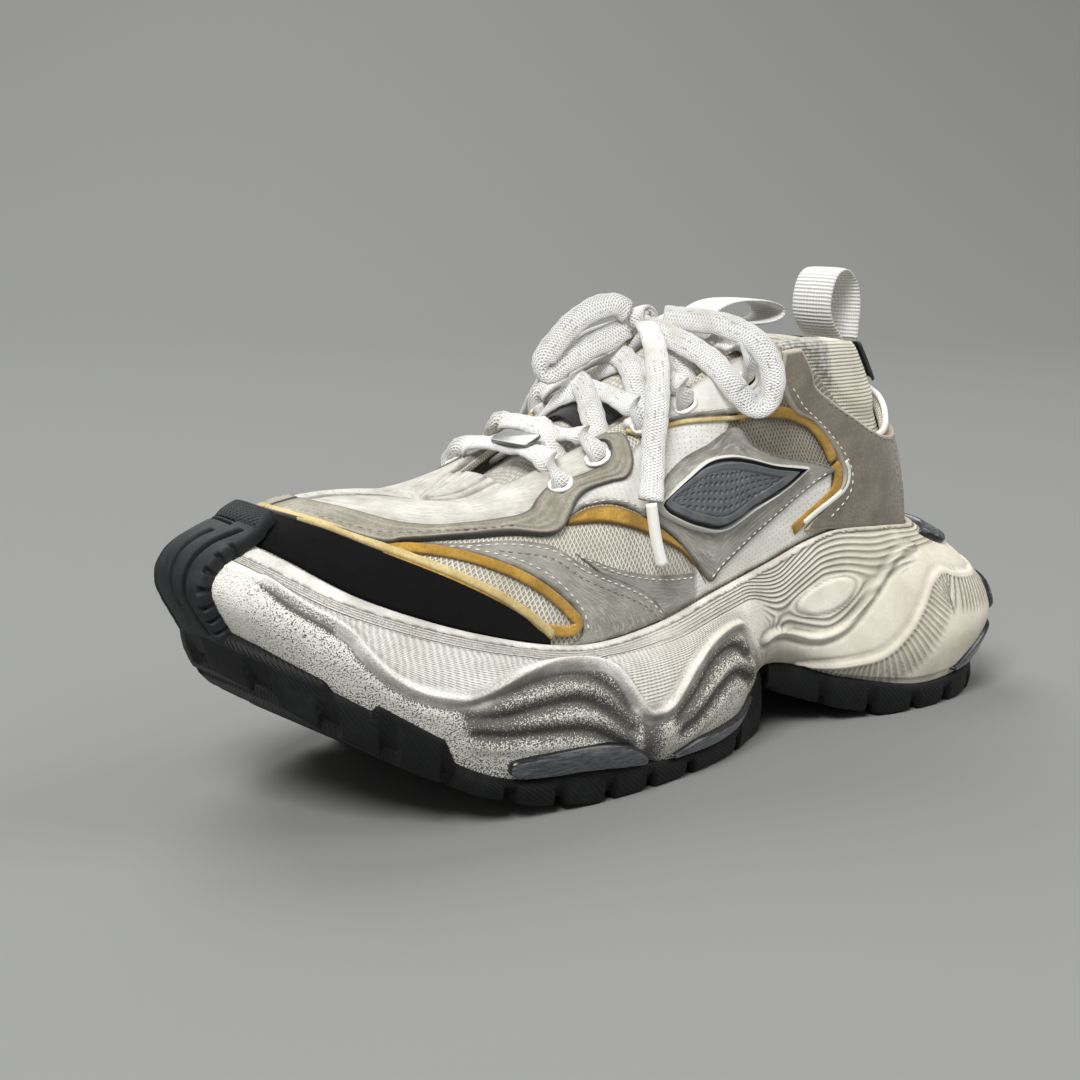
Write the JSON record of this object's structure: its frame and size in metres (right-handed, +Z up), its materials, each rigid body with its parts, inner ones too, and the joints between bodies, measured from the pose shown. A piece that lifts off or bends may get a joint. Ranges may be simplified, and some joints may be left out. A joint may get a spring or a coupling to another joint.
{
  "type": "sneaker",
  "caption": "Worn chunky running sneaker for the left foot, laced and tied, with a sculpted foam sole, rubber tread and toe bumper.",
  "frame": {"origin": "on the floor plane, on the flat forefoot tread, halfway along the sole and on the line from heel to toe", "axes": "+X towards the heel, +Y towards the inner side of the foot, +Z up; the toe points to -X"},
  "size_m": [0.3462, 0.1273, 0.1632],
  "materials": {
    "foam": "worn off-white foam, matte",
    "tread_rubber": "matte black rubber",
    "insert_plastic": "scuffed dark grey plastic",
    "upper_shell": "worn mesh and leather",
    "insole": "worn textile",
    "toe_felt": "black felt",
    "eyestay_suede": "light grey suede",
    "counter_suede": "warm grey suede",
    "flap_leather": "white grained leather",
    "panel_leather": "silver distressed leather",
    "wing_leather": "grey distressed leather",
    "badge_rubber": "dark grey moulded rubber",
    "collar_knit": "cream ribbed knit",
    "black_webbing": "black webbing",
    "tongue_fabric": "padded textile",
    "loop_webbing": "white webbing",
    "tag_metal": "worn satin metal",
    "aglet_plastic": "clear white plastic",
    "lace": "flat braided cord with grey flecks"
  },
  "bodies": {
    "root": {"aglet_inner": "aglet_plastic", "aglet_outer": "aglet_plastic", "collar_padding": "collar_knit", "eyelet_flap_inner": "flap_leather", "eyelet_flap_outer": "flap_leather", "eyestay": "eyestay_suede", "heel_counter": "counter_suede", "heel_tab": "black_webbing", "insert_forefoot_inner": "insert_plastic", "insert_forefoot_outer": "insert_plastic", "insert_heel_inner": "insert_plastic", "insert_heel_outer": "insert_plastic", "insert_heel_rear": "insert_plastic", "insert_heel_top": "insert_plastic", "insert_pod_inner": "insert_plastic", "insert_pod_outer": "insert_plastic", "insole": "insole", "lace_bar": "lace", "lace_cross_1": "lace", "lace_cross_2": "lace", "lace_cross_3": "lace", "lace_cross_4": "lace", "lace_end_inner": "lace", "lace_end_outer": "lace", "lace_keeper": "black_webbing", "lace_knot": "lace", "lace_loop_inner": "lace", "lace_loop_outer": "lace", "lace_tag": "tag_metal", "midsole": "foam", "outsole_forefoot": "tread_rubber", "outsole_heel": "tread_rubber", "pull_loop": "loop_webbing", "side_badge_inner": "badge_rubber", "side_badge_outer": "badge_rubber", "side_panel_inner": "panel_leather", "side_panel_outer": "panel_leather", "toe_panel": "toe_felt", "tongue": "tongue_fabric", "tongue_loop": "loop_webbing", "upper": "upper_shell", "wing_panel_inner": "wing_leather", "wing_panel_outer": "wing_leather"}
  },
  "joints": []
}
